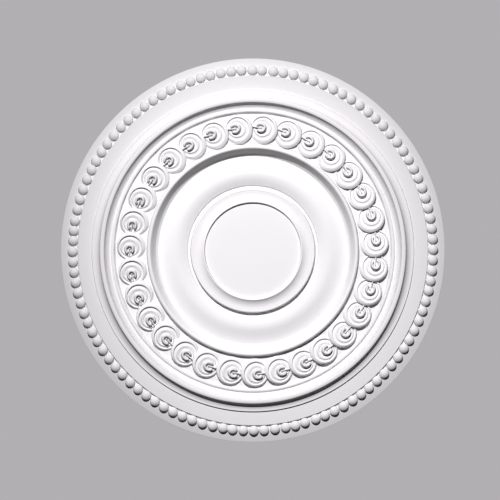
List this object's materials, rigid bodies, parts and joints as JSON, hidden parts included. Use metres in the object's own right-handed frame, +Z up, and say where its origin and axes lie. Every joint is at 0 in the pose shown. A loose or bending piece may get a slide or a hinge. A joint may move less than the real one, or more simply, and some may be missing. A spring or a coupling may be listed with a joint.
{
  "type": "ceiling rose",
  "caption": "Round cast plaster ceiling rose with stepped mouldings, a ring of overlapping coins, a beaded edge and a flat middle disc, fixed to a ceiling by its flat back.",
  "frame": {"origin": "middle of the flat back, where the rose is fixed to the ceiling", "axes": "+Z up, out of the back into the ceiling; the ornament faces down towards -Z; +X and -Y are the right and top of the reference view, seen from below"},
  "size_m": [0.6, 0.6, 0.0299],
  "materials": {
    "plaster": "matte"
  },
  "bodies": {
    "root": {"rose": "plaster"}
  },
  "joints": []
}
